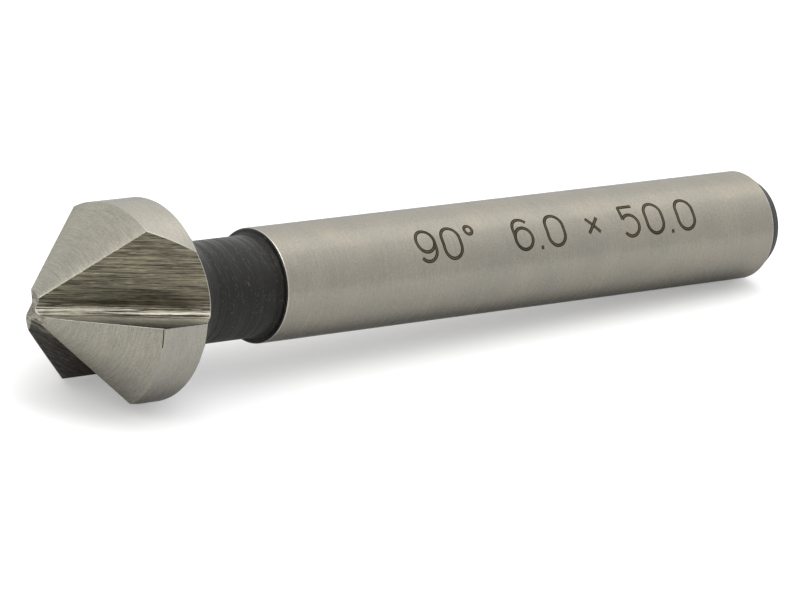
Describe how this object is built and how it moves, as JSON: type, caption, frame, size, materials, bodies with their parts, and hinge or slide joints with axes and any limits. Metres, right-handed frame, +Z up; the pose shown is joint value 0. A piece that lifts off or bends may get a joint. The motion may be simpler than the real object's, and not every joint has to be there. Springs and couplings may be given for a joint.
{
  "type": "countersink bit",
  "caption": "Straight-shank countersink bit: fluted cutting cone with a cylindrical land, dark undercut neck and plain ground shank, ground from solid tool steel.",
  "frame": {"origin": "on the ground, under the middle of the bounding box, with the bit lying as it comes to rest", "axes": "+X from the cutting tip to the rear of the shank, +Y across the bit, +Z up; the tool axis lies in the XZ plane and falls 2.56 degrees towards the rear of the shank"},
  "size_m": [0.05, 0.0104, 0.0102],
  "materials": {
    "ground_steel": "satin ground, with a dark unground neck"
  },
  "bodies": {
    "root": {"countersink_bit": "ground_steel"}
  },
  "joints": []
}
